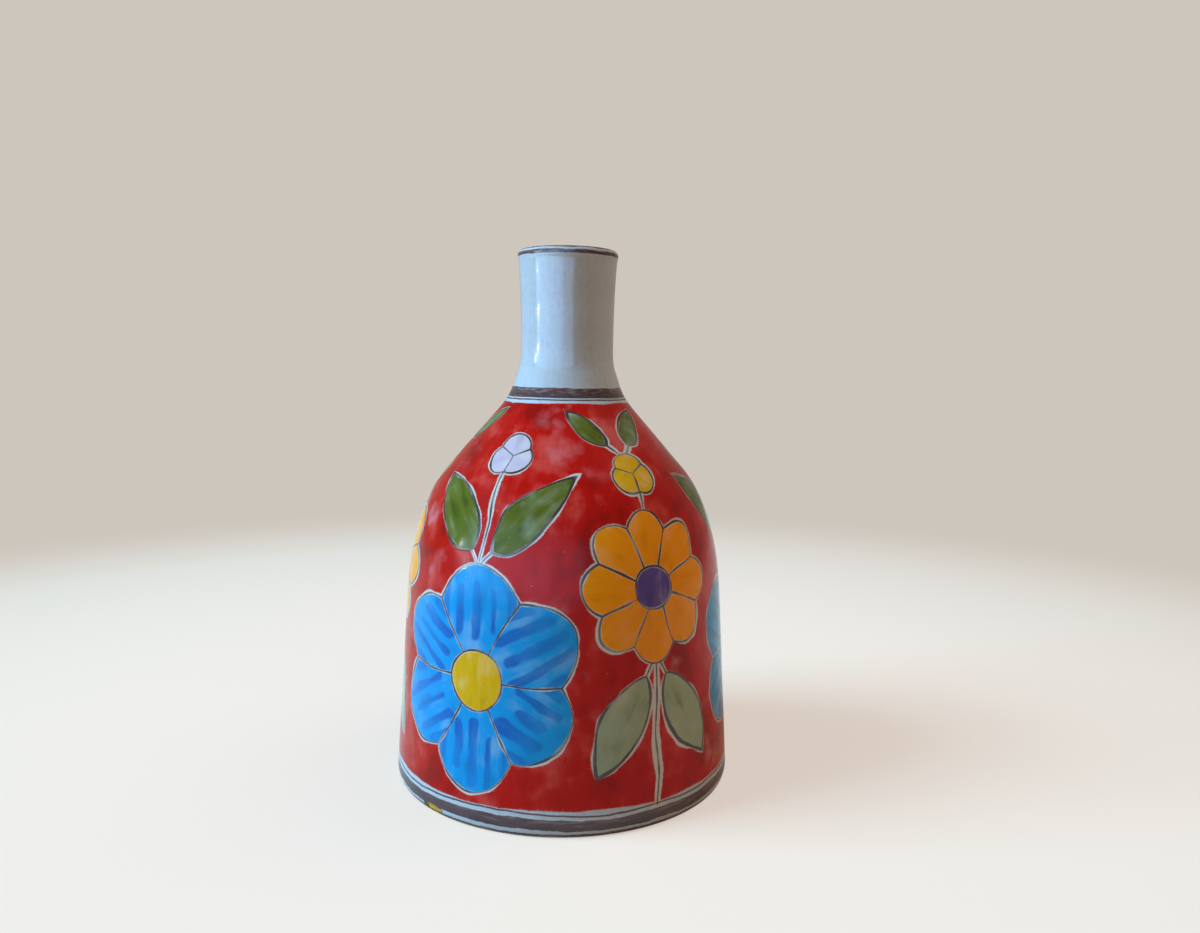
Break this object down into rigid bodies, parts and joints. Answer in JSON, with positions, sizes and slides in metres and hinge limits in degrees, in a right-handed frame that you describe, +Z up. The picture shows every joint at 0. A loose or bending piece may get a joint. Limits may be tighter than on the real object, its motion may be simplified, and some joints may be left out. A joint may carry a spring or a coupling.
{
  "type": "painted ceramic bottle vase",
  "caption": "Bell-shaped glazed earthenware bottle vase with a narrow neck, painted bands and bright enamel colour fields, for stems.",
  "frame": {"origin": "centre of the foot ring's resting plane", "axes": "+Z up along the wheel's axis, through the mouth; -Y towards the viewer"},
  "size_m": [0.1266, 0.1266, 0.1949],
  "materials": {
    "clay": "bare fired earthenware, matte",
    "inner_glaze": "clear pale glaze, gloss",
    "outer_glaze": "pale blue-grey tin glaze, gloss",
    "dark_oxide": "brushed purple-brown oxide under a gloss",
    "red_enamel": "brushed red enamel with cloudy thin patches, gloss",
    "blue_enamel": "azure enamel with darker brush strokes, gloss",
    "orange_enamel": "brushed orange enamel, gloss",
    "yellow_enamel": "brushed golden yellow enamel, gloss",
    "olive_enamel": "streaked olive green enamel, gloss",
    "sage_enamel": "streaked grey-green enamel, gloss",
    "lilac_enamel": "pale lilac enamel, gloss",
    "violet_enamel": "brushed violet-blue enamel, gloss"
  },
  "bodies": {
    "root": {"clay_body": "clay", "inner_glaze": "inner_glaze", "outer_glaze": "outer_glaze", "red_ground": "red_enamel", "mouth_line": "dark_oxide", "rim_line": "dark_oxide", "collar_band": "dark_oxide", "collar_line": "dark_oxide", "foot_line": "dark_oxide", "foot_band": "dark_oxide", "foot_edge_line": "dark_oxide", "blue_flower_1": "blue_enamel", "blue_flower_1_eye": "yellow_enamel", "orange_flower_1": "orange_enamel", "orange_flower_1_eye": "violet_enamel", "olive_leaf_left_1": "olive_enamel", "sage_leaf_left_1": "sage_enamel", "olive_sprig_left_1": "olive_enamel", "olive_leaf_right_1": "olive_enamel", "sage_leaf_right_1": "sage_enamel", "olive_sprig_right_1": "olive_enamel", "lilac_bud_1": "lilac_enamel", "yellow_bud_1": "yellow_enamel", "blue_flower_2": "blue_enamel", "blue_flower_2_eye": "yellow_enamel", "orange_flower_2": "orange_enamel", "orange_flower_2_eye": "violet_enamel", "olive_leaf_left_2": "olive_enamel", "sage_leaf_left_2": "sage_enamel", "olive_sprig_left_2": "olive_enamel", "olive_leaf_right_2": "olive_enamel", "sage_leaf_right_2": "sage_enamel", "olive_sprig_right_2": "olive_enamel", "lilac_bud_2": "lilac_enamel", "yellow_bud_2": "yellow_enamel", "blue_flower_3": "blue_enamel", "blue_flower_3_eye": "yellow_enamel", "orange_flower_3": "orange_enamel", "orange_flower_3_eye": "violet_enamel", "olive_leaf_left_3": "olive_enamel", "sage_leaf_left_3": "sage_enamel", "olive_sprig_left_3": "olive_enamel", "olive_leaf_right_3": "olive_enamel", "sage_leaf_right_3": "sage_enamel", "olive_sprig_right_3": "olive_enamel", "lilac_bud_3": "lilac_enamel", "yellow_bud_3": "yellow_enamel"}
  },
  "joints": []
}
